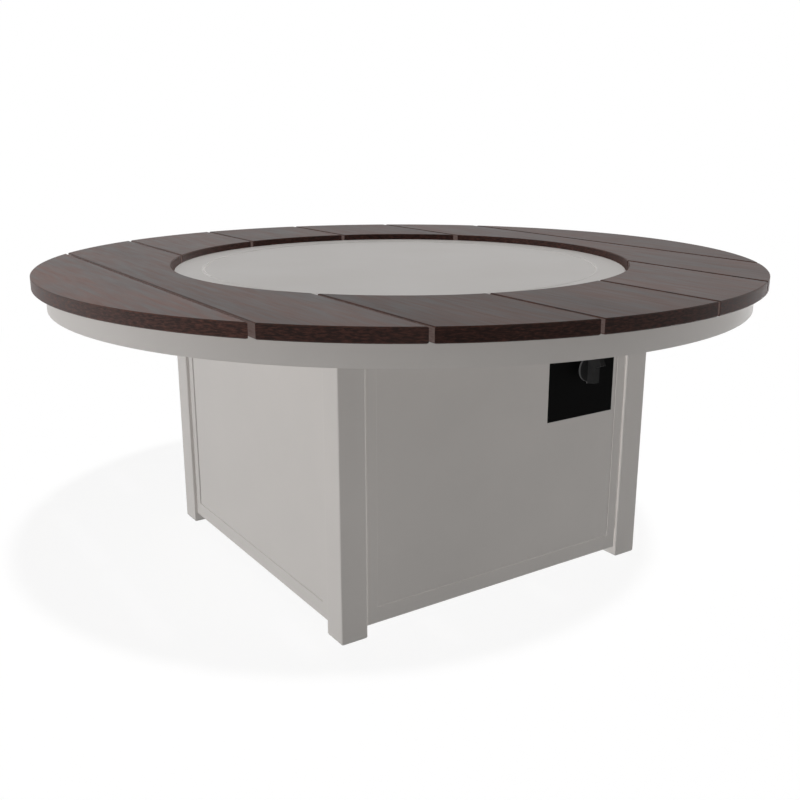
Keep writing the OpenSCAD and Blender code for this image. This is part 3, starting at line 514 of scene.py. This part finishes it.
def floor_material():
    """Pale floor that the camera sees as white, apart from the object's shadow."""
    material = bpy.data.materials.new("floor")
    material.use_nodes = True
    tree = material.node_tree
    tree.nodes.clear()
    speckle = noise(tree, place(tree, even(SPECKLE)), 4.0)
    tone = mix_colour(tree, speckle, FLOOR_DARK, FLOOR_LIGHT)
    bounced = mix_colour(tree, seen_directly(tree), FLOOR_BOUNCE, tone)
    lit = add_node(tree, "ShaderNodeBsdfDiffuse", {"Color": bounced})
    glow = add_node(tree, "ShaderNodeEmission", {"Color": (*WHITE, 1.0), "Strength": 1.0})
    share = spread(tree, radius(tree), GLOW_FROM, GLOW_TO, NEAR_GLOW, 1.0)
    seen = math_node(tree, "MULTIPLY", seen_directly(tree), share)
    mixed = add_node(tree, "ShaderNodeMixShader", {0: seen, 1: lit.outputs[0], 2: glow.outputs[0]})
    add_node(tree, "ShaderNodeOutputMaterial", {"Surface": mixed.outputs[0]})
    return material


def make_floor():
    """The round floor, which is not part of the object."""
    mesh = bpy.data.meshes.new("floor")
    shape = bmesh.new()
    bmesh.ops.create_circle(shape, cap_ends=True, segments=FLOOR_SIDES, radius=FLOOR_R)
    shape.to_mesh(mesh)
    shape.free()
    floor = bpy.data.objects.new("floor", mesh)
    scene.collection.objects.link(floor)
    mesh.materials.append(floor_material())
    return floor


def make_world(level):
    """Even soft light all round; the camera and reflections see a white backdrop."""
    world = bpy.data.worlds.new("studio")
    scene.world = world
    world.use_nodes = True
    tree = world.node_tree
    tree.nodes.clear()
    soft = add_node(tree, "ShaderNodeBackground", {"Color": (*WHITE, 1.0), "Strength": level})
    white = add_node(tree, "ShaderNodeBackground", {"Color": (*WHITE, 1.0), "Strength": 1.0})
    seen = seen_directly(tree)
    mixed = add_node(tree, "ShaderNodeMixShader", {0: seen, 1: soft.outputs[0], 2: white.outputs[0]})
    add_node(tree, "ShaderNodeOutputWorld", {"Surface": mixed.outputs[0]})


def make_sun(name, azimuth, elevation, size, strength, shine=False, lit=None):
    """Studio lamp at an azimuth from the front towards the left, angles in degrees.

    It casts no shadow and lights surfaces, or with shine makes only their highlights.
    With lit, it reaches only that object and casts the shadows there.
    """
    around, up = math.radians(azimuth), math.radians(elevation)
    towards = Vector((-math.sin(around) * math.cos(up), -math.cos(around) * math.cos(up), math.sin(up)))
    data = bpy.data.lights.new(name, "SUN")
    data.energy = strength
    data.angle = math.radians(size)
    data.use_shadow = lit is not None
    data.cycles.use_multiple_importance_sampling = lit is not None
    lamp = bpy.data.objects.new(name, data)
    lamp.visible_glossy = shine
    lamp.visible_diffuse = not shine
    scene.collection.objects.link(lamp)
    lamp.rotation_euler = (-towards).to_track_quat("-Z", "Y").to_euler()
    if lit:
        reached = bpy.data.collections.new(name + "_reaches")
        reached.objects.link(lit)
        lamp.light_linking.receiver_collection = reached


make_cover_seal()
the_floor = make_floor()
make_world(WORLD_LEVEL)
for sun_name, facts in SUNS.items():
    make_sun(sun_name, *facts)
make_sun("floor_sun", *FLOOR_SUN, lit=the_floor)

camera_data = bpy.data.cameras.new("camera")
camera_data.angle = math.radians(VIEW_ANGLE)
camera = bpy.data.objects.new("camera", camera_data)
scene.collection.objects.link(camera)
camera.location = CAMERA_AT
camera.rotation_euler = (Vector(LOOK_AT) - Vector(CAMERA_AT)).to_track_quat("-Z", "Y").to_euler()
scene.camera = camera
